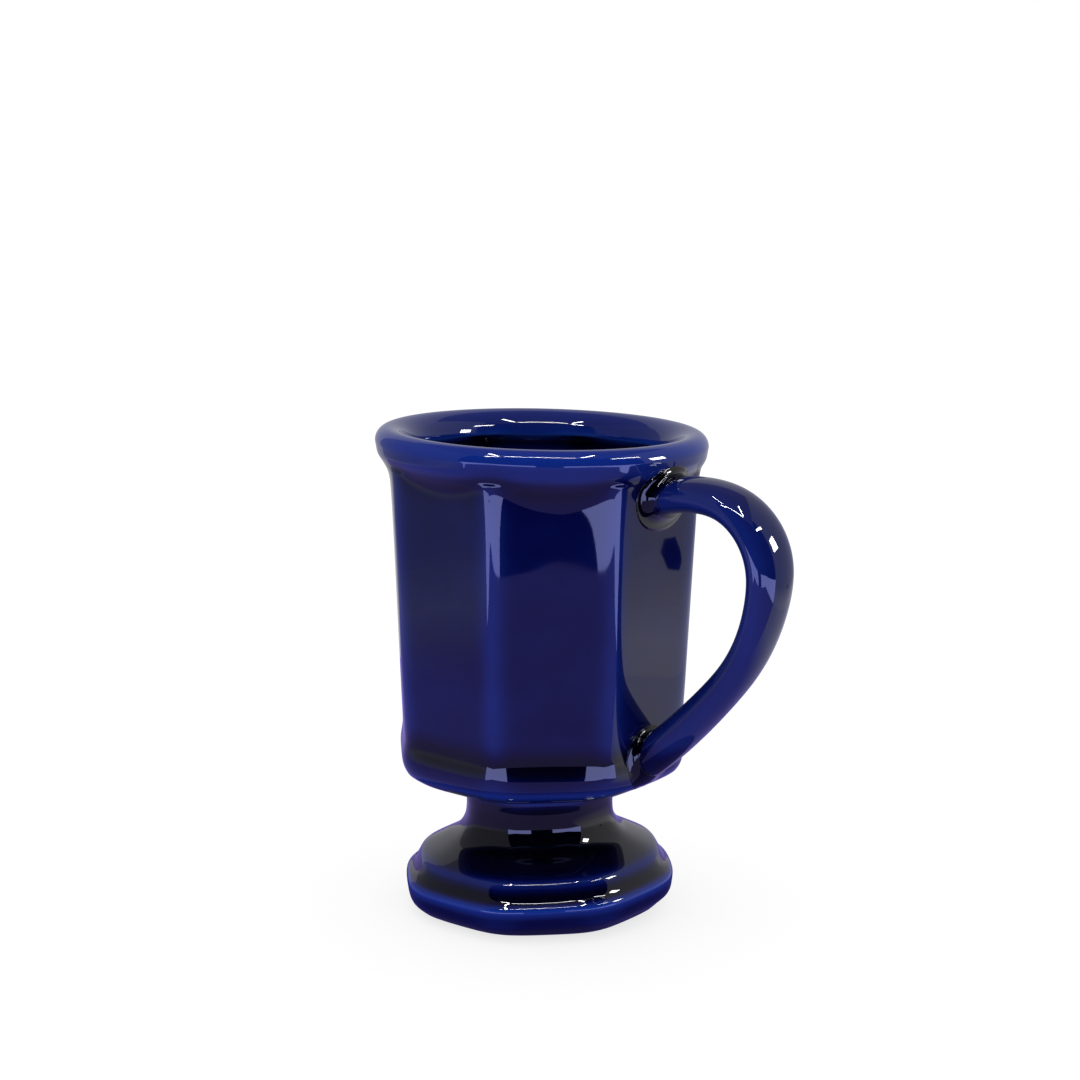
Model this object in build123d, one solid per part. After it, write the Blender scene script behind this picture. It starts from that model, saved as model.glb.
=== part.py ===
from build123d import *
import math
import os

# Shaving mug: an eight-sided cast cup with a round rolled rim, an eight-sided pedestal foot and a loop
# handle. The castings are joined with slip and fired as one. Lengths are in millimetres, angles in degrees.
#
# Frame: +Z is up along the mug's axis, z = 0 is the plane that the foot ring stands on, and the handle
# points along +X, from the middle of one flat side. The XZ plane is the mug's plane of symmetry.

# Overall sizes
MUG_HEIGHT = 121.0
SIDES = 8
REACH = 60.0  # more than any radius, so that a prism passes right through

# Cup: eight flat sides that widen a little upwards, above a soft bulge and a flat underside
CUP_BOTTOM = 34.0
WALL = 4.0
CUP_FLOOR = 40.0  # height of the floor inside
CUP_CORNER = 7.0  # corner radius between two flat sides
INSIDE_CORNER = 6.0
BULGE_APOTHEM = 35.3  # distance from the axis to a flat side, at the bulge
BULGE_HEIGHT = 40.9
WAIST_APOTHEM = 34.2
WAIST_HEIGHT = 48.0
SIDE_TOP_APOTHEM = 37.2
SIDE_TOP = 116.0  # the flat sides run up inside the rim to here

# Rim: a round roll that flares out of the flat sides
RIM_RADIUS = 40.9
RIM_HEIGHT = 6.4  # from the rim's lower shoulder to its crest
UNDER_RIM_RADIUS = 36.5
UNDER_RIM_HEIGHT = 110.5
MOUTH_RADIUS = 33.5
OUTER_LIP_ROUND = 3.2
INNER_LIP_ROUND = 4.1

# Foot: a wide rolled base that narrows to a neck
FOOT_TOP = 32.0  # the foot's top face; joining slip fills the gap up to the cup
FOOT_CORNER = 5.0
RING_APOTHEM = 24.0  # the flat ring that the mug stands on
ROLL_APOTHEM = 33.75
ROLL_HEIGHT = 8.9
NECK_APOTHEM = 18.9
NECK_HEIGHT = 22.3
NECK_TOP_APOTHEM = 19.6
RECESS_RADIUS = 20.5  # hollow underneath, inside the ring
RECESS_TOP_RADIUS = 13.5
RECESS_HEIGHT = 24.0
RECESS_ROUND = 5.0

# Handle: an oval bar that follows four arcs, each tangent to the next
HANDLE_START = (36.5, 108.0)  # x and z where the centre line leaves the cup's side, under the rim
HANDLE_START_RISE = 21.6
HANDLE_ARCS = [(34.3, 29.8), (16.8, 86.7), (45.7, 35.1), (164.0, 10.9)]  # radius, turn downwards
HANDLE_SIZES = [(0.0, 6.4, 4.2), (0.33, 7.6, 4.3), (0.66, 5.6, 4.0), (1.0, 6.4, 4.7)]
# Each size is a fraction of the centre line's length, then half the bar's width and half its thickness

# Slip: the smoothed collars that join the handle to the cup, and the ring between foot and cup
UPPER_COLLAR = 6.0  # the handle casting stops this far from the start of its centre line
LOWER_COLLAR = 8.0  # and this far from its end, where it meets the cup at a slant
COLLAR_BEYOND = 6.0  # a collar runs on this far into the cup before it is cut to the cup's surface
COLLAR_GROWTH = [1.0, 1.06, 1.22, 1.5]  # how much wider each section is, towards the cup
FOOT_SLIP_FLARE = 2.4


def closed_outline(points, radii):
    """An outline from a list of x and z points, each corner rounded by its radius."""
    return Plane.XZ * FilletPolyline(*points, radius=radii, close=True)


def faceted_solid(points, radii, corner):
    """An eight-sided solid: prisms with one profile, crossed every 45 degrees, with rounded corners."""
    half = extrude(make_face(closed_outline(points, radii)), REACH, both=True)
    prism = half + mirror(half, Plane.YZ)
    solid = prism
    for side in range(1, SIDES // 2):
        solid = solid & Rot(0, 0, side * 360 / SIDES) * prism
    return fillet(solid.edges().filter_by(is_corner_edge), corner)


def is_corner_edge(edge):
    """True for an edge that lies in a vertical plane through the axis, between two flat sides."""
    for place in (0.1, 0.5, 0.9):
        point = edge @ place
        turn = math.degrees(math.atan2(point.Y, point.X)) % (360 / SIDES)
        if abs(turn - 180 / SIDES) > 0.01:
            return False
    return True


def turned_solid(points, radii):
    """A solid of revolution about the mug's axis."""
    return revolve(make_face(closed_outline(points, radii)), Axis.Z)


def cup_outside():
    """The cup's outer shape, filled in: the flat sides, the bulge at the bottom and the round rim."""
    sides = faceted_solid(
        [
            (0, CUP_BOTTOM),
            (BULGE_APOTHEM - 6.0, CUP_BOTTOM),
            (BULGE_APOTHEM - 2.0, CUP_BOTTOM + 2.6),
            (BULGE_APOTHEM, BULGE_HEIGHT),
            (WAIST_APOTHEM, WAIST_HEIGHT),
            (SIDE_TOP_APOTHEM, SIDE_TOP),
            (0, SIDE_TOP),
        ],
        [0, 6, 6, 6, 12, 0, 0],
        CUP_CORNER,
    )
    rim = turned_solid(
        [
            (0, UNDER_RIM_HEIGHT - 5),
            (UNDER_RIM_RADIUS - 0.7, UNDER_RIM_HEIGHT - 5),
            (UNDER_RIM_RADIUS, UNDER_RIM_HEIGHT),
            (RIM_RADIUS - 0.4, MUG_HEIGHT - RIM_HEIGHT),
            (RIM_RADIUS, MUG_HEIGHT),
            (0, MUG_HEIGHT),
        ],
        [0, 0, 5, 3, 0, 0],
    )
    return sides + rim


def cup_inside():
    """The space inside the cup: flat sides like the outside, round at the mouth, rounded at the floor."""
    sides = faceted_solid(
        [
            (0, CUP_FLOOR),
            (WAIST_APOTHEM - WALL, CUP_FLOOR),
            (WAIST_APOTHEM - WALL, WAIST_HEIGHT),
            (SIDE_TOP_APOTHEM - WALL, SIDE_TOP),
            (0, SIDE_TOP),
        ],
        [0, 7, 30, 0, 0],
        INSIDE_CORNER,
    )
    over_top = MUG_HEIGHT + 5
    mouth = turned_solid(
        [
            (0, UNDER_RIM_HEIGHT - 12),
            (MOUTH_RADIUS - 2.5, UNDER_RIM_HEIGHT - 12),
            (MOUTH_RADIUS - 0.3, UNDER_RIM_HEIGHT),
            (MOUTH_RADIUS, over_top),
            (0, over_top),
        ],
        [0, 0, 20, 0, 0],
    )
    return sides + mouth


def make_bowl(outside):
    """The cup casting: the outer shape less the space inside, with a fully rounded lip."""
    bowl = outside - cup_inside()
    inner, outer = bowl.edges().filter_by(GeomType.CIRCLE).group_by(Axis.Z)[-1].sort_by(SortBy.RADIUS)
    bowl = fillet(outer, OUTER_LIP_ROUND)
    inner = bowl.edges().filter_by(GeomType.CIRCLE).group_by(Axis.Z)[-1].sort_by(SortBy.RADIUS)[0]
    return fillet(inner, INNER_LIP_ROUND)


def make_foot():
    """The pedestal casting, hollow underneath inside the ring that it stands on."""
    outside = faceted_solid(
        [
            (0, 0),
            (RING_APOTHEM, 0),
            (RING_APOTHEM + 5.5, 1.1),
            (ROLL_APOTHEM, ROLL_HEIGHT),
            (ROLL_APOTHEM - 3.3, ROLL_HEIGHT + 4.8),
            (NECK_APOTHEM, NECK_HEIGHT),
            (NECK_TOP_APOTHEM - 0.2, NECK_HEIGHT + 4.2),
            (NECK_TOP_APOTHEM, FOOT_TOP),
            (0, FOOT_TOP),
        ],
        [0, 3, 6, 3, 3, 5, 3, 0, 0],
        FOOT_CORNER,
    )
    recess = Pos(0, 0, RECESS_HEIGHT / 2) * Cone(RECESS_RADIUS, RECESS_TOP_RADIUS, RECESS_HEIGHT)
    recess = fillet(recess.edges().sort_by(Axis.Z)[-1], RECESS_ROUND)
    return outside - recess


def make_foot_joint():
    """The slip between the foot's top face and the cup's underside, flared under the cup."""
    middle = (FOOT_TOP + CUP_BOTTOM) / 2
    return faceted_solid(
        [
            (0, FOOT_TOP),
            (NECK_TOP_APOTHEM, FOOT_TOP),
            (NECK_TOP_APOTHEM + 0.3, middle),
            (NECK_TOP_APOTHEM + FOOT_SLIP_FLARE, CUP_BOTTOM),
            (0, CUP_BOTTOM),
        ],
        [0, 0, 1.5, 0, 0],
        FOOT_CORNER,
    )


def handle_line():
    """The handle's centre line, from the cup's side under the rim to the cup's bulge."""
    rise = math.radians(HANDLE_START_RISE)
    start = HANDLE_START
    direction = (math.cos(rise), math.sin(rise))
    arcs = []
    for radius, turn in HANDLE_ARCS:
        arc = JernArc(start, direction, radius, -turn)
        arcs.append(arc.edge())
        start = arc @ 1
        direction = arc % 1
    return Plane.XZ * Wire(arcs)


def section_plane(line, place, outward):
    """The plane square to the centre line at a fraction of its length; outward is 1 or -1 along it."""
    return Plane(origin=line @ place, x_dir=(0, 1, 0), z_dir=(line % place) * outward)


def handle_size(place):
    """Half the bar's width and half its thickness at a fraction of the centre line's length."""
    for lower, upper in zip(HANDLE_SIZES, HANDLE_SIZES[1:]):
        if place <= upper[0]:
            break
    share = (place - lower[0]) / (upper[0] - lower[0])
    half_wide = lower[1] + (upper[1] - lower[1]) * share
    half_thick = lower[2] + (upper[2] - lower[2]) * share
    return half_wide, half_thick


def make_handle(line):
    """The loop handle casting, between the two slip collars: wider at the shoulder than further down."""
    first = UPPER_COLLAR / line.length
    last = 1 - LOWER_COLLAR / line.length
    sections = []
    for place in (first, HANDLE_SIZES[1][0], HANDLE_SIZES[2][0], last):
        sections.append(section_plane(line, place, 1) * Ellipse(*handle_size(place)))
    return sweep(sections, line.trim(first, last), multisection=True)


def make_collar(line, place, outward, length, outside):
    """The slip from the handle casting's end face to the cup, cut to the cup's outer surface."""
    plane = section_plane(line, place, outward)
    half_wide, half_thick = handle_size(place)
    step = (length + COLLAR_BEYOND) / (len(COLLAR_GROWTH) - 1)
    sections = []
    for count, grow in enumerate(COLLAR_GROWTH):
        sections.append(plane.offset(count * step) * Ellipse(half_wide * grow, half_thick * grow))
    return loft(sections) - outside


def main():
    os.makedirs("parts", exist_ok=True)
    outside = cup_outside()
    line = handle_line()
    upper_end = UPPER_COLLAR / line.length
    lower_end = 1 - LOWER_COLLAR / line.length
    pieces = {
        "bowl": make_bowl(outside),
        "foot": make_foot(),
        "foot_joint": make_foot_joint(),
        "handle": make_handle(line),
        "upper_handle_joint": make_collar(line, upper_end, -1, UPPER_COLLAR, outside),
        "lower_handle_joint": make_collar(line, lower_end, 1, LOWER_COLLAR, outside),
    }
    for name, solid in pieces.items():
        export_step(solid, f"parts/{name}.step")


main()
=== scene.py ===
import math

import bpy
import numpy as np
from mathutils import Matrix, Vector


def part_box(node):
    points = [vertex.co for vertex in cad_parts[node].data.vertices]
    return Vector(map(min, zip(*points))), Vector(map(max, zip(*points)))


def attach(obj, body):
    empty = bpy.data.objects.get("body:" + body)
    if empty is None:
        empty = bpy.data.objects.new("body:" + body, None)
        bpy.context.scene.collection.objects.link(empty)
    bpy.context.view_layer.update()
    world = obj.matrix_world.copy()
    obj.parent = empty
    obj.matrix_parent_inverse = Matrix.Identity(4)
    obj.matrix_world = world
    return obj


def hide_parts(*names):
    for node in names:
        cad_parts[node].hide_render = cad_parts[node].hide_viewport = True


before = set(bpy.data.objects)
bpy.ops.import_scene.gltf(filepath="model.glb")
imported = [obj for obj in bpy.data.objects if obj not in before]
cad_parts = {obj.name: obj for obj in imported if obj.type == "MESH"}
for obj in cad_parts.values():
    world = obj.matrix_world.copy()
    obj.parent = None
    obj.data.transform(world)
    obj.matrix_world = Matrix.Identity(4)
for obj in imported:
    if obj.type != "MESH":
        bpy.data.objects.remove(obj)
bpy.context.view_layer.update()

# A glazed shaving mug. Shapes are worked out in millimetres in the CAD model's frame: +Z up along the
# mug's axis, the foot ring on z = 0, the handle along +X. Meshes and lights are placed in metres.
MM = 0.001
SIDES = 8

cup_low, cup_high = [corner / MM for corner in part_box("bowl")]
foot_top_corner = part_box("foot")[1] / MM

# Cup
MUG_HEIGHT = cup_high.z
CUP_BOTTOM = cup_low.z
CUP_FLOOR = CUP_BOTTOM + 6.0
WALL = 4.0
BULGE_APOTHEM = 35.3  # distance from the axis to a flat side
BULGE_HEIGHT = 39.0
WAIST_APOTHEM = 34.2
WAIST_HEIGHT = 44.9
SIDE_TOP_APOTHEM = 37.2
SIDE_TOP = 116.0
CUP_SHARPNESS = 44.0  # 2 is a circle, and a larger number is a crisper octagon
UNDERSIDE_SHARPNESS = 16.0
INSIDE_SHARPNESS = 30.0

# Rim
RIM_RADIUS = 40.9
UNDER_RIM_RADIUS = 36.3
UNDER_RIM_HEIGHT = 109.8
RIM_SHOULDER_HEIGHT = 114.6
LIP_ROUND = 3.3
INNER_LIP_ROUND = 6.0
RIM_SOFTNESS = 1.6  # how softly the flat sides run into the round rim, in mm
LIP_RINGS = 40
MOUTH_RADIUS = RIM_RADIUS - LIP_ROUND - INNER_LIP_ROUND
RIM_SIDE_TOP = MUG_HEIGHT - LIP_ROUND
MOUTH_SIDE_TOP = MUG_HEIGHT - INNER_LIP_ROUND

# Foot
FOOT_TOP = foot_top_corner.z
RING_APOTHEM = 24.0
ROLL_APOTHEM = 33.8
ROLL_LOW = 4.2
ROLL_HIGH = 8.9
COVE_APOTHEM = 31.8
BASE_SHOULDER_APOTHEM = 29.8
BASE_SHOULDER_HEIGHT = 14.2
NECK_APOTHEM = 18.3
NECK_HEIGHT = 22.3
NECK_TOP_APOTHEM = 19.2
FOOT_SHARPNESS = 14.0
SLOPE_SHARPNESS = 10.0
NECK_SHARPNESS = 11.0
RECESS_RADIUS = 20.5
RECESS_TOP_RADIUS = 13.5
RECESS_HEIGHT = 24.0

# Handle: four arcs, each tangent to the next: radius, and turn downwards in degrees
HANDLE_START = (36.5, 108.0)
HANDLE_RISE = 21.6
HANDLE_ARCS = [(34.3, 29.8), (16.8, 86.7), (45.7, 35.1), (164.0, 10.9)]
HANDLE_PLACES = [0.0, 0.33, 0.66, 1.0]  # fractions of the centre line's length, for the two lists below
HANDLE_HALF_WIDE = [6.4, 7.8, 5.5, 6.4]
HANDLE_HALF_THICK = [4.2, 4.3, 3.9, 4.7]
HANDLE_SQUARENESS = 2.15
UPPER_FILLET = 3.4
LOWER_FILLET = 2.2

# The camera stands off the front, to the left of the handle
CAMERA_TURN = 40.09
CAMERA_DISTANCE = 541.0
CAMERA_HEIGHT = 194.8
CAMERA_PITCH = 10.654
CAMERA_YAW = 0.032
CAMERA_ROLL = 0.387
CAMERA_LENS = 74.14


# ---------------------------------------------------------------- lines

def rounded_line(points, radii, spacing=0.1):
    """Evenly spaced points along a polyline whose inner corners are rounded by the given radii."""
    points = [np.array(point, float) for point in points]
    path = [points[0]]
    for before, corner, after, radius in zip(points, points[1:], points[2:], radii):
        back = (before - corner) / np.linalg.norm(before - corner)
        ahead = (after - corner) / np.linalg.norm(after - corner)
        half = math.acos(np.clip(back @ ahead, -1, 1)) / 2
        if radius == 0:
            path.append(corner)
            continue
        middle = (back + ahead) / np.linalg.norm(back + ahead)
        centre = corner + middle * radius / math.sin(half)
        first = corner + back * radius / math.tan(half) - centre
        last = corner + ahead * radius / math.tan(half) - centre
        turn = math.pi - 2 * half
        for share in np.linspace(0, 1, 24):
            weight_first = math.sin((1 - share) * turn) / math.sin(turn)
            weight_last = math.sin(share * turn) / math.sin(turn)
            path.append(centre + first * weight_first + last * weight_last)
    path.append(points[-1])
    return evenly_spaced(np.array(path), spacing)


def evenly_spaced(path, spacing):
    """The same path with its points evenly spaced."""
    along = np.concatenate([[0], np.cumsum(np.linalg.norm(np.diff(path, axis=0), axis=1))])
    count = max(2, int(round(along[-1] / spacing)) + 1)
    places = np.linspace(0, along[-1], count)
    return np.stack([np.interp(places, along, path[:, axis]) for axis in range(path.shape[1])], 1)


def softened(path, width):
    """A path of evenly spaced points with its curvature evened out over a width in points."""
    reach = int(3 * width)
    weights = np.exp(-0.5 * (np.arange(-reach, reach + 1) / width) ** 2)
    weights /= weights.sum()
    start = 2 * path[0] - path[reach:0:-1]
    end = 2 * path[-1] - path[-2 : -reach - 2 : -1]
    padded = np.concatenate([start, path, end])
    return np.stack([np.convolve(padded[:, axis], weights, "valid") for axis in range(path.shape[1])], 1)


def thinned_out(path, longest, turn):
    """Fewer points along a fine path: close together where it bends, at most `longest` apart elsewhere."""
    steps = np.diff(path, axis=0)
    heading = np.unwrap(np.arctan2(steps[:, 1], steps[:, 0]))
    bends = np.abs(np.diff(heading, append=heading[-1]))
    cost = np.linalg.norm(steps, axis=1) / longest + bends / math.radians(turn)
    total = np.concatenate([[0], np.cumsum(cost)])
    places = np.linspace(0, total[-1], int(math.ceil(total[-1])) + 1)
    return np.stack([np.interp(places, total, path[:, axis]) for axis in range(2)], 1)


def soft_max(one, other, softness):
    """The larger of two numbers, rounded off where they are close."""
    return 0.5 * (one + other + np.sqrt((one - other) ** 2 + softness**2))


def smooth_step(value, low, high):
    """0 below low, 1 above high, and an even ramp between."""
    share = np.clip((value - low) / (high - low), 0, 1)
    return share * share * (3 - 2 * share)


# ---------------------------------------------------------------- octagonal rings

def ring_turns():
    """Turns about the axis for the points of one ring: close together at the octagon's corners."""
    half_side = math.pi / SIDES
    share = np.linspace(-1, 1, 36, endpoint=False)
    offsets = half_side * (0.35 * share + 0.65 * share**3)
    return np.concatenate([(2 * side + 1) * half_side + offsets for side in range(SIDES)])


def octagon_reach(turns, sharpness):
    """How far out a soft-cornered octagon is, as a share of its apothem."""
    total = 0
    for side in range(SIDES):
        facing = np.maximum(np.cos(turns - side * 2 * math.pi / SIDES), 0)
        total = total + facing**sharpness
    middle = sum(max(math.cos(side * 2 * math.pi / SIDES), 0) ** sharpness for side in range(SIDES))
    return (total / middle) ** (-1 / sharpness)


TURNS = ring_turns()


def ring(reach, height):
    """One ring of points about the axis."""
    reach = np.broadcast_to(reach, TURNS.shape)
    return np.stack([reach * np.cos(TURNS), reach * np.sin(TURNS), np.full(TURNS.shape, height)], 1)


# ---------------------------------------------------------------- cup

side_line = softened(
    rounded_line(
        [
            (0, CUP_BOTTOM),
            (BULGE_APOTHEM - 6.0, CUP_BOTTOM),
            (BULGE_APOTHEM - 2.0, CUP_BOTTOM + 2.6),
            (BULGE_APOTHEM, BULGE_HEIGHT),
            (WAIST_APOTHEM, WAIST_HEIGHT),
            (SIDE_TOP_APOTHEM, SIDE_TOP),
        ],
        [6, 6, 6, 8],
    ),
    8,
)
flare_line = softened(
    rounded_line(
        [
            (UNDER_RIM_RADIUS - 3.2, UNDER_RIM_HEIGHT - 12),
            (UNDER_RIM_RADIUS, UNDER_RIM_HEIGHT),
            (RIM_RADIUS - 0.5, RIM_SHOULDER_HEIGHT),
            (RIM_RADIUS, RIM_SIDE_TOP),
        ],
        [16, 3],
    ),
    5,
)
inside_line = softened(
    rounded_line(
        [
            (0, CUP_FLOOR),
            (WAIST_APOTHEM - WALL, CUP_FLOOR),
            (WAIST_APOTHEM - WALL, WAIST_HEIGHT),
            (SIDE_TOP_APOTHEM - WALL, SIDE_TOP),
        ],
        [7, 30],
    ),
    8,
)
mouth_line = softened(
    rounded_line(
        [
            (MOUTH_RADIUS - 2.5, UNDER_RIM_HEIGHT - 12),
            (MOUTH_RADIUS - 0.3, UNDER_RIM_HEIGHT),
            (MOUTH_RADIUS, MOUTH_SIDE_TOP),
        ],
        [20],
    ),
    5,
)


def blended_reach(flat_reach, round_line, height, turns, sharpness):
    """Flat sides that run into a turned surface: the further out of the two, softly blended."""
    fade = smooth_step(height, SIDE_TOP - 4, RIM_SIDE_TOP - 0.5)
    octagon = flat_reach * (1 - 0.12 * fade) * octagon_reach(turns, sharpness)
    turned = np.interp(height, round_line[:, 1], round_line[:, 0])
    turned = turned - np.maximum(round_line[0, 1] - height, 0) * 0.3
    return soft_max(octagon, turned, RIM_SOFTNESS * (1 - fade) + 1e-6)


def cup_sharpness(height):
    """How crisp the cup's corners are: softer towards the underside, and a little under the rim."""
    heights = [CUP_BOTTOM, 44, 60, 100, 113]
    crispness = [UNDERSIDE_SHARPNESS, 27, CUP_SHARPNESS, CUP_SHARPNESS, 32]
    return np.interp(height, heights, crispness)


def cup_reach(height, turns):
    """How far out the cup's outer surface is, above its underside."""
    upper = side_line[side_line[:, 1] > CUP_BOTTOM + 0.05]
    flat_reach = np.interp(height, upper[:, 1], upper[:, 0])
    return blended_reach(flat_reach, flare_line, height, turns, cup_sharpness(height))


def cup_rings():
    """Rings from the middle of the underside up the outside, over the lip and down to the floor inside."""
    rings = []
    outside = thinned_out(side_line[side_line[:, 1] < 103], 1.6, 5)
    for reach, height in outside[1:]:
        rings.append(ring(blended_reach(reach, flare_line, height, TURNS, cup_sharpness(height)), height))
    for height in np.arange(103, RIM_SIDE_TOP, 0.35):
        rings.append(ring(cup_reach(height, TURNS), height))
    crest = RIM_RADIUS - LIP_ROUND
    for turn in np.linspace(0, math.pi, LIP_RINGS):
        lip_round = LIP_ROUND if turn < math.pi / 2 else INNER_LIP_ROUND
        height = MUG_HEIGHT - lip_round * (1 - math.sin(turn))
        rings.append(ring(crest + lip_round * math.cos(turn), height))
    inside = inside_line[::-1]
    for height in np.arange(MOUTH_SIDE_TOP - 0.35, 96, -0.6):
        reach = np.interp(height, inside_line[:, 1], inside_line[:, 0])
        rings.append(ring(blended_reach(reach, mouth_line, height, TURNS, INSIDE_SHARPNESS), height))
    for reach, height in thinned_out(inside[inside[:, 1] < 95.5], 2.0, 6)[:-1]:
        rings.append(ring(blended_reach(reach, mouth_line, height, TURNS, INSIDE_SHARPNESS), height))
    return np.array(rings)


# ---------------------------------------------------------------- foot

def foot_rings():
    """Rings from the middle of the top face down the outside, across the ring and up into the recess."""
    outside = softened(
        rounded_line(
            [
                (0, FOOT_TOP),
                (NECK_TOP_APOTHEM, FOOT_TOP),
                (NECK_APOTHEM, NECK_HEIGHT + 4.7),
                (NECK_APOTHEM + 0.3, NECK_HEIGHT - 2.2),
                (BASE_SHOULDER_APOTHEM, BASE_SHOULDER_HEIGHT),
                (COVE_APOTHEM, ROLL_HIGH + 1.4),
                (ROLL_APOTHEM, ROLL_HIGH),
                (ROLL_APOTHEM - 0.7, ROLL_LOW),
                (RING_APOTHEM + 5.5, 1.0),
                (RING_APOTHEM, 0),
                (RING_APOTHEM - 1.5, 0),
            ],
            [0.3, 9, 8, 1.8, 3, 1.5, 4, 5, 3],
        ),
        5,
    )
    recess = softened(
        rounded_line(
            [
                (RECESS_RADIUS + 1.5, 0),
                (RECESS_RADIUS, 0),
                (RECESS_TOP_RADIUS, RECESS_HEIGHT),
                (0, RECESS_HEIGHT),
            ],
            [1.0, 5],
        ),
        4,
    )
    rings = []
    for reach, height in thinned_out(outside, 1.2, 5)[1:]:
        sharpness = np.interp(height, [4, 12, NECK_HEIGHT], [FOOT_SHARPNESS, SLOPE_SHARPNESS, NECK_SHARPNESS])
        rings.append(ring(reach * octagon_reach(TURNS, sharpness), height))
    for reach, height in thinned_out(recess, 1.6, 6)[:-1]:
        rings.append(ring(reach, height))
    return np.array(rings)


def foot_joint_rings():
    """Rings of the slip that fills the angle between the foot's neck and the cup's underside."""
    flare = 4.0
    start = NECK_TOP_APOTHEM - 0.35
    rings = []
    for turn in np.linspace(0, math.pi / 2, 10):
        reach = start + flare * (1 - math.cos(turn))
        height = CUP_BOTTOM - flare * (1 - math.sin(turn)) + 0.02
        rings.append(ring(reach * octagon_reach(TURNS, NECK_SHARPNESS), height))
    return np.array(rings)


# ---------------------------------------------------------------- handle and its slip collars

SECTION_TURNS = np.linspace(0, 2 * math.pi, 72, endpoint=False)
RUN_IN = 14.0  # straight ends of the centre line, inside the cup


def handle_centre_line():
    """The handle's centre line in x and z, with straight ends that run on into the cup."""
    heading = math.radians(HANDLE_RISE)
    place = np.array(HANDLE_START, float)
    path = [place - RUN_IN * np.array([math.cos(heading), math.sin(heading)])]
    for radius, turn in HANDLE_ARCS:
        centre = place + radius * np.array([math.sin(heading), -math.cos(heading)])
        for _ in range(40):
            path.append(place)
            heading -= math.radians(turn) / 40
            place = centre + radius * np.array([-math.sin(heading), math.cos(heading)])
    path.append(place)
    path.append(place + RUN_IN * np.array([math.cos(heading), math.sin(heading)]))
    return softened(evenly_spaced(np.array(path), 0.25), 10)


centre_line = handle_centre_line()
LINE_STEP = np.linalg.norm(centre_line[1] - centre_line[0])
LINE_LENGTH = LINE_STEP * (len(centre_line) - 1)
bar_places = (np.arange(len(centre_line)) * LINE_STEP - RUN_IN) / (LINE_LENGTH - 2 * RUN_IN)
handle_wide = softened(np.interp(bar_places, HANDLE_PLACES, HANDLE_HALF_WIDE)[:, None], 30)[:, 0]
handle_thick = softened(np.interp(bar_places, HANDLE_PLACES, HANDLE_HALF_THICK)[:, None], 30)[:, 0]


def handle_surface(along, turns):
    """Points on the handle's bar and its outward directions, at distances along the centre line."""
    places = np.arange(len(centre_line)) * LINE_STEP
    tangents = np.gradient(centre_line, axis=0)
    tangents /= np.linalg.norm(tangents, axis=1)[:, None]
    x = np.interp(along, places, centre_line[:, 0])
    z = np.interp(along, places, centre_line[:, 1])
    tangent_x = np.interp(along, places, tangents[:, 0])
    tangent_z = np.interp(along, places, tangents[:, 1])
    half_wide = np.interp(along, places, handle_wide)
    half_thick = np.interp(along, places, handle_thick)
    power = 2 / HANDLE_SQUARENESS
    out = np.sign(np.cos(turns)) * np.abs(np.cos(turns)) ** power
    across = np.sign(np.sin(turns)) * np.abs(np.sin(turns)) ** power
    points = np.stack(
        [x - tangent_z * half_thick * out, half_wide * across, z + tangent_x * half_thick * out], -1
    )
    rise = np.cos(turns) / half_thick
    side = np.sin(turns) / half_wide
    normals = np.stack([-tangent_z * rise, side, tangent_x * rise], -1)
    return points, normals / np.linalg.norm(normals, axis=-1, keepdims=True)


def cup_gap(points):
    """The gap from each point to the cup's outer surface, and the surface's outward direction there."""
    def excess(place):
        turns = np.arctan2(place[..., 1], place[..., 0])
        return np.hypot(place[..., 0], place[..., 1]) - cup_reach(place[..., 2], turns)

    step = 0.02
    here = excess(points)
    slope = np.stack([(excess(points + step * np.eye(3)[axis]) - here) / step for axis in range(3)], -1)
    steep = np.linalg.norm(slope, axis=-1, keepdims=True)
    return here / steep[..., 0], slope / steep


def root_places(gaps, first, last):
    """For each turn about the handle's bar, the distances along it at which the cup is those gaps away."""
    along = np.linspace(first, last, 400)
    turns = np.broadcast_to(SECTION_TURNS[:, None], (len(SECTION_TURNS), len(along)))
    points, normals = handle_surface(np.broadcast_to(along, turns.shape), turns)
    gap = cup_gap(points)[0]
    places = []
    for line in gap:
        rising = np.maximum.accumulate(line)
        places.append(np.interp(gaps, rising + np.arange(len(rising)) * 1e-9, along))
    return np.array(places).T


def collar_rings(first, last, fillet):
    """Rings of a slip collar: tangent to the handle's bar at one end and to the cup at the other."""
    bend = np.linspace(0, math.pi / 2, 14)
    gaps = fillet * (1 - np.sin(bend))
    spread = fillet * (1 - np.cos(bend))
    along = root_places(gaps, first, last)
    turns = np.broadcast_to(SECTION_TURNS, along.shape)
    points, normals = handle_surface(along, turns)
    outward = cup_gap(points)[1]
    sideways = normals - outward * (normals * outward).sum(-1, keepdims=True)
    sideways /= np.linalg.norm(sideways, axis=-1, keepdims=True)
    points = points + sideways * spread[:, None, None]
    for _ in range(4):
        gap, outward = cup_gap(points)
        points = points + outward * (gaps[:, None] - gap)[..., None]
    return points, along[0]


def handle_rings(upper_start, lower_start):
    """Rings of the handle's bar between its two collars."""
    rings = []
    for share in np.linspace(0, 1, 150):
        along = upper_start * (1 - share) + lower_start * share
        rings.append(handle_surface(along, SECTION_TURNS)[0])
    return np.array(rings)


# ---------------------------------------------------------------- hand-made unevenness

RIM_LEAN = -0.0154  # the rim and the foot each lean a little, across the view
FOOT_LEAN = 0.0334
LEAN_DIRECTION = (math.cos(math.radians(CAMERA_TURN)), math.sin(math.radians(CAMERA_TURN)))


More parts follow.
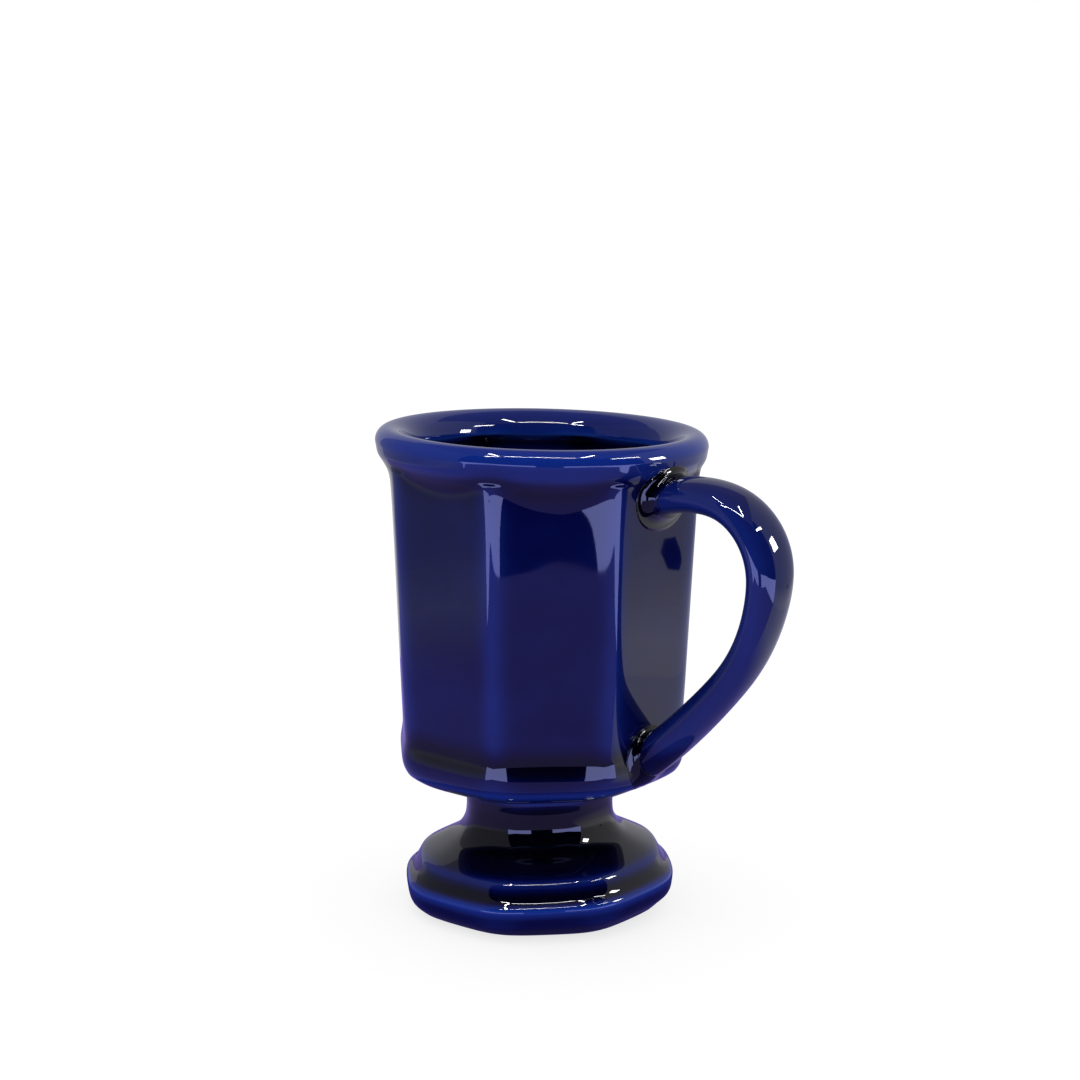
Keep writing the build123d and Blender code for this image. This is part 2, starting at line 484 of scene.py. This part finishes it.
def hand_made(points):
    """The shape as it came out of the kiln: rim and foot lean slightly."""
    height = points[..., 2]
    across = points[..., 0] * LEAN_DIRECTION[0] + points[..., 1] * LEAN_DIRECTION[1]
    rim = smooth_step(height, 50, 110)
    foot = (1 - smooth_step(height, 22, WAIST_HEIGHT)) * smooth_step(height, 0, 2.2)
    moved = points.copy()
    moved[..., 2] = height + across * (RIM_LEAN * rim + FOOT_LEAN * foot)
    return moved


# ---------------------------------------------------------------- meshes

HANDLE_GLAZE = 0.08  # the glaze on the handle and its collars is darker by this, on the bend's scale
INSIDE_PAINTED_LIGHT = 0.15  # painted light: the glaze inside the cup is made lighter by this, to stand in for light inside the cup


def surface_bend(rings):
    """How strongly the surface bulges out (positive) or hollows in (negative) at each point, per mm."""
    def neighbours(values):
        before = np.concatenate([values[:1], values[:-1]])
        after = np.concatenate([values[1:], values[-1:]])
        return before, after

    row_before, row_after = neighbours(rings)
    along = row_after - row_before
    around = np.roll(rings, -1, axis=1) - np.roll(rings, 1, axis=1)
    normal = np.cross(around, along)
    normal /= np.maximum(np.linalg.norm(normal, axis=-1, keepdims=True), 1e-9)
    normal_before, normal_after = neighbours(normal)
    bend_along = ((normal_after - normal_before) * along).sum(-1) / np.maximum((along**2).sum(-1), 1e-6)
    turn_around = np.roll(normal, -1, axis=1) - np.roll(normal, 1, axis=1)
    bend_around = (turn_around * around).sum(-1) / np.maximum((around**2).sum(-1), 1e-6)
    return bend_along + bend_around


def spread_out(values, rings, width):
    """Values evened out over a width in mm along and around the rings."""
    for _ in range(30):
        for axis in (0, 1):
            if axis == 0:
                after = np.concatenate([rings[1:], rings[-1:]])
                next_values = np.concatenate([values[1:], values[-1:]])
                before = np.concatenate([rings[:1], rings[:-1]])
                last_values = np.concatenate([values[:1], values[:-1]])
            else:
                after, next_values = np.roll(rings, -1, axis=1), np.roll(values, -1, axis=1)
                before, last_values = np.roll(rings, 1, axis=1), np.roll(values, 1, axis=1)
            ahead = np.maximum(np.linalg.norm(after - rings, axis=-1), 0.02)
            behind = np.maximum(np.linalg.norm(rings - before, axis=-1), 0.02)
            pull = (next_values - values) / ahead - (values - last_values) / behind
            step = np.minimum(width**2 / 30, 0.4 * ahead * behind)
            values = values + step * pull * 2 / (ahead + behind)
    return values


def pooled_glaze_and_shade(height):
    """How much darker than its bend alone would leave it the glaze is, low on the mug: partly the glaze
    gathering there, partly painted shade on the cup's underside and waist, the neck and the foot.
    """
    heights = [0, 4, 7, 14, 20, 30, 34, 36.5, 39, 45, 50]
    pooling_and_shade = [0.28, 0.25, 0.13, 0.12, 0.22, 0.2, 0.12, 0.04, 0.17, 0.17, 0]
    return np.interp(height, heights, pooling_and_shade)


def faces_inward(rings):
    """Whether the normals of a tube of rings, as surface_bend works them out, point into it."""
    along = rings[1:] - rings[:-1]
    around = np.roll(rings, -1, axis=1) - rings
    normal = np.cross(around[:-1], along)
    middle = rings.mean((0, 1))
    return ((rings[:-1] - middle) * normal).sum() < 0


def add_values(mesh, name, values):
    """One number for each vertex of a mesh, for its material to read."""
    attribute = mesh.attributes.new(name, "FLOAT", "POINT")
    attribute.data.foreach_set("value", values.astype(np.float32))


def ring_mesh(name, rings):
    """A closed mesh from rings of points in mm, with a fan at each end, and its surface bend, which also
    carries painted shade low on the mug and painted light inside the cup.
    """
    rows, columns = rings.shape[:2]
    inside_out = faces_inward(rings)
    bend = surface_bend(rings) * (-1 if inside_out else 1)
    # painted shade: the glaze is darkened low on the mug, partly for its pooling and partly for the shade
    # under the cup, on the neck and round the foot
    bend = spread_out(np.clip(bend, -0.6, 0.8), rings, 0.8) - pooled_glaze_and_shade(rings[..., 2])
    if "handle" in name:
        bend -= HANDLE_GLAZE
    if "bowl" in name:
        # painted light: the glaze inside the cup, past the lip, is made lighter
        lip = rings[..., 2].mean(1).argmax()
        bend[lip + LIP_RINGS // 2 :] += INSIDE_PAINTED_LIGHT
    made = hand_made(rings)
    ends = hand_made(np.array([rings[0].mean(0), rings[-1].mean(0)]))
    vertices = np.concatenate([made.reshape(-1, 3), ends]) * MM
    faces = []
    for row in range(rows - 1):
        for column in range(columns):
            beside = (column + 1) % columns
            low, high = row * columns, (row + 1) * columns
            faces.append((low + column, low + beside, high + beside, high + column))
    first, last, top = rows * columns, rows * columns + 1, (rows - 1) * columns
    for column in range(columns):
        beside = (column + 1) % columns
        faces.append((first, beside, column))
        faces.append((last, top + column, top + beside))
    if inside_out:
        faces = [face[::-1] for face in faces]
    mesh = bpy.data.meshes.new(name)
    mesh.from_pydata(vertices.tolist(), [], faces)
    mesh.polygons.foreach_set("use_smooth", [True] * len(mesh.polygons))
    values = np.concatenate([bend.ravel(), [bend[0].mean(), bend[-1].mean()]])
    add_values(mesh, "bend", values)
    base = (vertices[:, 2] < 0.35 * MM) & (np.hypot(vertices[:, 0], vertices[:, 1]) > RECESS_RADIUS * MM)
    add_values(mesh, "bare", base * 1.0)
    mesh.update()
    piece = bpy.data.objects.new(name, mesh)
    bpy.context.scene.collection.objects.link(piece)
    return piece


# ---------------------------------------------------------------- materials

def add_node(tree, kind, settings=None, **inputs):
    """A shader node with its settings and unlinked inputs."""
    node = tree.nodes.new(kind)
    for key, value in (settings or {}).items():
        setattr(node, key, value)
    for key, value in inputs.items():
        node.inputs[key.replace("_", " ")].default_value = value
    return node


def glaze_material():
    """Cobalt glaze over pale clay: nearly black where it pools, bright blue where it runs thin. The bend
    value it reads also holds painted shade low on the mug and painted light inside the cup.
    """
    material = bpy.data.materials.new("cobalt_glaze")
    material.use_nodes = True
    tree = material.node_tree
    link = tree.links.new
    shader = tree.nodes["Principled BSDF"]
    place = add_node(tree, "ShaderNodeTexCoord")
    # the bend value: the glaze's thickness, plus painted shade low on the mug and painted light inside the
    # cup
    bend = add_node(tree, "ShaderNodeAttribute", {"attribute_name": "bend"})
    cloud = add_node(tree, "ShaderNodeTexNoise", Scale=70.0, Detail=3.0, Roughness=0.5)
    link(place.outputs["Object"], cloud.inputs["Vector"])
    wander = add_node(tree, "ShaderNodeMapRange", From_Min=0.3, From_Max=0.7, To_Min=-0.02, To_Max=0.02)
    link(cloud.outputs["Fac"], wander.inputs["Value"])
    uneven = add_node(tree, "ShaderNodeMath", {"operation": "ADD"})
    link(bend.outputs["Fac"], uneven.inputs[0])
    link(wander.outputs["Result"], uneven.inputs[1])
    thin = add_node(tree, "ShaderNodeMapRange", From_Min=-0.25, From_Max=0.5, To_Min=0.0, To_Max=1.0)
    link(uneven.outputs["Value"], thin.inputs["Value"])
    ramp = add_node(tree, "ShaderNodeValToRGB")
    stops = ramp.color_ramp.elements
    stops[0].position, stops[0].color = 0.0, (0.0003, 0.0004, 0.002, 1)
    stops[1].position, stops[1].color = 1.0, (0.012, 0.055, 0.36, 1)
    for position, colour in (
        (0.16, (0.0005, 0.0008, 0.009, 1)),
        (0.32, (0.0009, 0.0020, 0.043, 1)),
        (0.52, (0.0045, 0.012, 0.125, 1)),
        (0.76, (0.0040, 0.020, 0.205, 1)),
    ):
        stop = stops.new(position)
        stop.color = colour
    link(thin.outputs["Result"], ramp.inputs["Fac"])
    bare = add_node(tree, "ShaderNodeAttribute", {"attribute_name": "bare"})
    grit = add_node(tree, "ShaderNodeTexNoise", Scale=900.0, Detail=4.0)
    link(place.outputs["Object"], grit.inputs["Vector"])
    clay = add_node(tree, "ShaderNodeMix", {"data_type": "RGBA"})
    clay.inputs[6].default_value = (0.50, 0.44, 0.36, 1)
    clay.inputs[7].default_value = (0.66, 0.60, 0.52, 1)
    link(grit.outputs["Fac"], clay.inputs[0])
    surface = add_node(tree, "ShaderNodeMix", {"data_type": "RGBA"})
    link(bare.outputs["Fac"], surface.inputs[0])
    link(ramp.outputs["Color"], surface.inputs[6])
    link(clay.outputs[2], surface.inputs[7])
    link(surface.outputs[2], shader.inputs["Base Color"])
    dull = add_node(tree, "ShaderNodeMapRange", From_Min=0.0, From_Max=1.0, To_Min=0.03, To_Max=0.75)
    link(bare.outputs["Fac"], dull.inputs["Value"])
    link(dull.outputs["Result"], shader.inputs["Roughness"])
    ripple = add_node(tree, "ShaderNodeTexNoise", Scale=55.0, Detail=1.0, Roughness=0.4)
    link(place.outputs["Object"], ripple.inputs["Vector"])
    flow = add_node(tree, "ShaderNodeBump", Strength=1.0, Distance=0.00010)
    link(ripple.outputs["Fac"], flow.inputs["Height"])
    pits = add_node(tree, "ShaderNodeTexVoronoi", {"feature": "F1"}, Scale=85.0)
    link(place.outputs["Object"], pits.inputs["Vector"])
    pinhole = add_node(tree, "ShaderNodeMapRange", From_Min=0.0, From_Max=0.022, To_Min=0.0, To_Max=1.0)
    link(pits.outputs["Distance"], pinhole.inputs["Value"])
    dimple = add_node(tree, "ShaderNodeBump", Strength=0.6, Distance=0.00006)
    link(pinhole.outputs["Result"], dimple.inputs["Height"])
    link(flow.outputs["Normal"], dimple.inputs["Normal"])
    link(dimple.outputs["Normal"], shader.inputs["Normal"])
    shader.inputs["IOR"].default_value = 1.5
    return material


# ---------------------------------------------------------------- build the pieces

glaze = glaze_material()
upper_collar, upper_start = collar_rings(4, 34, UPPER_FILLET)
lower_collar, lower_start = collar_rings(LINE_LENGTH - 4, LINE_LENGTH - 44, LOWER_FILLET)
shapes = {
    "bowl": cup_rings(),
    "foot": foot_rings(),
    "foot_joint": foot_joint_rings(),
    "handle": handle_rings(upper_start, lower_start),
    "upper_handle_joint": upper_collar,
    "lower_handle_joint": lower_collar,
}
for node, rings in shapes.items():
    piece = ring_mesh(node + "_glazed", rings)
    piece.data.materials.append(glaze)
    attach(piece, "root")
    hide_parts(node)


# ---------------------------------------------------------------- camera and stage

def view_frame():
    """The directions towards the camera and to its right, level, from the mug's axis."""
    turn = math.radians(CAMERA_TURN)
    return Vector((math.sin(turn), -math.cos(turn), 0)), Vector((math.cos(turn), math.sin(turn), 0))


TOWARDS, RIGHT = view_frame()


def in_view(towards, right, height):
    """A place given by distances in mm towards the camera, to its right, and up."""
    return (TOWARDS * towards + RIGHT * right + Vector((0, 0, height))) * MM


def add_camera():
    """The camera, looking slightly down at the mug."""
    pitch = math.radians(CAMERA_PITCH)
    ahead = -TOWARDS * math.cos(pitch) - Vector((0, 0, math.sin(pitch)))
    yaw = Matrix.Rotation(math.radians(CAMERA_YAW), 3, "Z")
    ahead = yaw @ ahead
    right = yaw @ RIGHT
    up = right.cross(ahead)
    basis = Matrix((right, up, -ahead)).transposed()
    roll = Matrix.Rotation(math.radians(CAMERA_ROLL), 3, "Z")
    data = bpy.data.cameras.new("camera")
    data.lens = CAMERA_LENS
    data.sensor_width = 36.0
    data.clip_start = 0.01
    camera = bpy.data.objects.new("camera", data)
    camera.matrix_world = (basis @ roll).to_4x4()
    camera.location = in_view(CAMERA_DISTANCE, 0, CAMERA_HEIGHT)
    bpy.context.scene.collection.objects.link(camera)
    bpy.context.scene.camera = camera


def glow_material(name, colour, strength):
    """A plain glowing surface."""
    material = bpy.data.materials.new(name)
    material.use_nodes = True
    tree = material.node_tree
    tree.nodes.clear()
    glow = add_node(tree, "ShaderNodeEmission", Color=(*colour, 1), Strength=strength)
    out = add_node(tree, "ShaderNodeOutputMaterial")
    tree.links.new(glow.outputs["Emission"], out.inputs["Surface"])
    return material


def card(name, corners, colour, strength):
    """A flat glowing card that shows only in reflections, with its corners in view distances, in mm."""
    mesh = bpy.data.meshes.new(name)
    mesh.from_pydata([in_view(*corner) for corner in corners], [], [tuple(range(len(corners)))])
    mesh.materials.append(glow_material(name, colour, strength))
    made = bpy.data.objects.new(name, mesh)
    bpy.context.scene.collection.objects.link(made)
    made.visible_camera = False
    made.visible_diffuse = False
    made.visible_shadow = False
    made.visible_transmission = False


FLOOR_END = 340.0  # the light tent's floor ends here, in front of the mug
TENT_FRONT = 200.0
TENT_BACK = -260.0
TENT_HALF = 230.0
TENT_TOP = 400.0
TENT_BASE = -1.0  # just under the surface that the mug stands on
LEFT_WALL_END = 170.0
RIGHT_WALL_END = 95.0
ON_WALL = TENT_HALF - 2  # for what hangs just inside a wall
GAP_LEFT = -22.0  # the dark gap between the pale strips on the floor's front edge
GAP_RIGHT = 84.0
STRIP_TOP = 64.0
STRIP_GLOW = 5.5
LILAC = (0.40, 0.44, 1.0)
WHITE = (1.0, 1.0, 1.0)
FLOOR_GLOW = (0.25, 0.20, 0.60)
LEFT_WALL_GLOWS = [FLOOR_GLOW, (0.38, 0.38, 0.52), (0.24, 0.24, 0.30)]
RIGHT_WALL_GLOWS = [(0.80, 0.80, 0.88), (0.84, 0.84, 0.88), (0.48, 0.48, 0.51)]
RIGHT_FLOOR_GLOW = (0.72, 0.72, 0.80)


def upright(name, start, end, low, high, colour, strength):
    """An upright card over a line on the floor, from start to end, each towards the camera and right."""
    corners = [(*start, low), (*end, low), (*end, high), (*start, high)]
    card(name, corners, colour, strength)


def level(name, back, front, left, right, height, colour, strength):
    """A level card between two distances towards the camera and two to its right."""
    corners = [(back, left, height), (front, left, height), (front, right, height), (back, right, height)]
    card(name, corners, colour, strength)


def fading_wall(name, start, end, heights, colours):
    """An upright tent wall whose glow fades from colour to colour, in bands, and then stays the same."""
    bands = 14
    edges = np.linspace(heights[0], heights[-1], bands + 1)
    for count, (bottom, top) in enumerate(zip(edges, edges[1:])):
        colour = [np.interp((bottom + top) / 2, heights, channel) for channel in zip(*colours)]
        upright(f"{name}_{count}", start, end, bottom, top, colour, 1.0)
    upright(name, start, end, heights[-1], TENT_TOP, colours[-1], 1.0)


def add_right_floor():
    """The tent's floor along its right wall: paler towards the wall, in bands."""
    bands = 12
    first = 80
    width = 6
    for band in range(bands):
        share = (band + 0.5) / bands
        near = first + width * band
        far = near + width if band < bands - 1 else TENT_HALF
        colour = [inner + (outer - inner) * share for inner, outer in zip(FLOOR_GLOW, RIGHT_FLOOR_GLOW)]
        level(f"right_floor_{band}", TENT_BACK, 90, near, far, -0.6, colour, 1.0)


def add_contact_shadow():
    """The dark round patch of floor that the mug stands on."""
    radius = 60
    rim = []
    for turn in np.linspace(0, 2 * math.pi, 36, endpoint=False):
        rim.append((radius * math.cos(turn), radius * math.sin(turn), -0.5))
    card("contact_shadow", rim, (0.25, 0.2, 1.0), 0.2)


def add_dark_shape():
    """A small dark thing on the right wall, which shows in the side by the handle."""
    places = [(-38, 40), (-34, 47.5), (-29, 46), (-27, 41), (-30, 36.5), (-36, 37)]
    corners = [(towards, ON_WALL, height) for towards, height in places]
    card("dark_shape", corners, (0.1, 0.1, 0.3), 0.1)


def add_strips():
    """The pale lilac strips that stand along the floor's front edge and run back to the walls."""
    side = FLOOR_END - 20
    strips = {
        "left_strip": ((FLOOR_END, GAP_LEFT), (side, -TENT_HALF)),
        "left_side_strip": ((side, -TENT_HALF), (LEFT_WALL_END, -TENT_HALF)),
        "right_strip": ((FLOOR_END, GAP_RIGHT), (side, TENT_HALF)),
        "right_side_strip": ((side, TENT_HALF), (RIGHT_WALL_END, TENT_HALF)),
    }
    for name, (start, end) in strips.items():
        upright(name, start, end, TENT_BASE, STRIP_TOP, LILAC, STRIP_GLOW)


def add_light_tent():
    """What the glaze reflects: pale tent walls, floor and ceiling, with an open dark front."""
    back, front, half, top = TENT_BACK, TENT_FRONT, TENT_HALF, TENT_TOP
    fading_wall("left_wall", (back, -half), (LEFT_WALL_END, -half), [TENT_BASE, 22, 42], LEFT_WALL_GLOWS)
    fading_wall("right_wall", (back, half), (RIGHT_WALL_END, half), [TENT_BASE, 12, 42], RIGHT_WALL_GLOWS)
    add_right_floor()
    upright("back_wall", (back, -half), (back, half), TENT_BASE, top, (1.0, 1.0, 1.1), 0.5)
    add_dark_shape()
    add_contact_shadow()
    level("ceiling", back, front, -half, half, top, (0.85, 0.8, 1.1), 0.22)
    level("tent_floor", back, FLOOR_END, -half, half, TENT_BASE, (0.42, 0.34, 1.0), 0.6)
    add_strips()


def add_room():
    """The dark room that the tent's open front faces."""
    room = 900.0
    bottom = -60
    dark = (0.15, 0.15, 1.0)
    glow = 0.012
    upright("room_front", (room, -room), (room, room), bottom, room, dark, glow)
    upright("room_left", (TENT_FRONT, -room), (room, -room), bottom, room, dark, glow)
    upright("room_right", (TENT_FRONT, room), (room, room), bottom, room, dark, glow)
    level("room_ceiling", TENT_FRONT, room, -room, room, room, dark, glow)
    level("room_floor", FLOOR_END, room, -room, room, bottom, dark, glow)


def lamp_bar(name, start, end, width):
    """A narrow lamp in the tent's ceiling, from start to end, each towards the camera and right."""
    start, end = np.array(start, float), np.array(end, float)
    side = np.array([end[1] - start[1], start[0] - end[0]]) / np.linalg.norm(end - start) * width / 2
    height = TENT_TOP - 2
    corners = []
    for place in (start + side, end + side, end - side, start - side):
        corners.append((*place, height))
    card(name, corners, WHITE, 110)


def add_lamps():
    """Strip lamps along the top of the tent, and a window and a bright slanting bar on its right wall."""
    lamp_bar("front_lamp", (170, -105), (170, 105), 5.5)
    lamp_bar("left_lamp", (150, -116), (60, -116), 7)
    lamp_bar("right_lamp", (150, 116), (40, 116), 7)
    lamp_bar("far_lamp", (190, -195), (200, -130), 10)
    upright("right_window", (15, ON_WALL), (65, ON_WALL), 150, 198, WHITE, 40)
    bar = [(62, ON_WALL, 264), (170, ON_WALL, 325), (170, ON_WALL, 345), (62, ON_WALL, 284)]
    card("right_bar", bar, WHITE, 40)


def add_floor():
    """The plain white floor that the mug stands on, which the camera sees."""
    material = bpy.data.materials.new("white_floor")
    material.use_nodes = True
    shader = material.node_tree.nodes["Principled BSDF"]
    shader.inputs["Base Color"].default_value = (0.3, 0.3, 0.3, 1)
    shader.inputs["Roughness"].default_value = 1.0
    shader.inputs["Specular IOR Level"].default_value = 0.0
    shader.inputs["Emission Color"].default_value = (1, 1, 1, 1)
    shader.inputs["Emission Strength"].default_value = 0.75
    mesh = bpy.data.meshes.new("floor")
    size = 4.0
    mesh.from_pydata([(-size, -size, 0), (size, -size, 0), (size, size, 0), (-size, size, 0)], [],
                     [(0, 1, 2, 3)])
    mesh.materials.append(material)
    floor = bpy.data.objects.new("floor", mesh)
    bpy.context.scene.collection.objects.link(floor)
    floor.visible_glossy = False


def add_daylight():
    """Even white light from all round, which is also the background."""
    world = bpy.data.worlds.new("daylight")
    world.use_nodes = True
    sky = world.node_tree.nodes["Background"]
    sky.inputs["Color"].default_value = (1, 1, 1, 1)
    sky.inputs["Strength"].default_value = 1.0
    bpy.context.scene.world = world


add_camera()
add_light_tent()
add_room()
add_lamps()
add_floor()
add_daylight()
bpy.context.scene.view_settings.view_transform = "Standard"
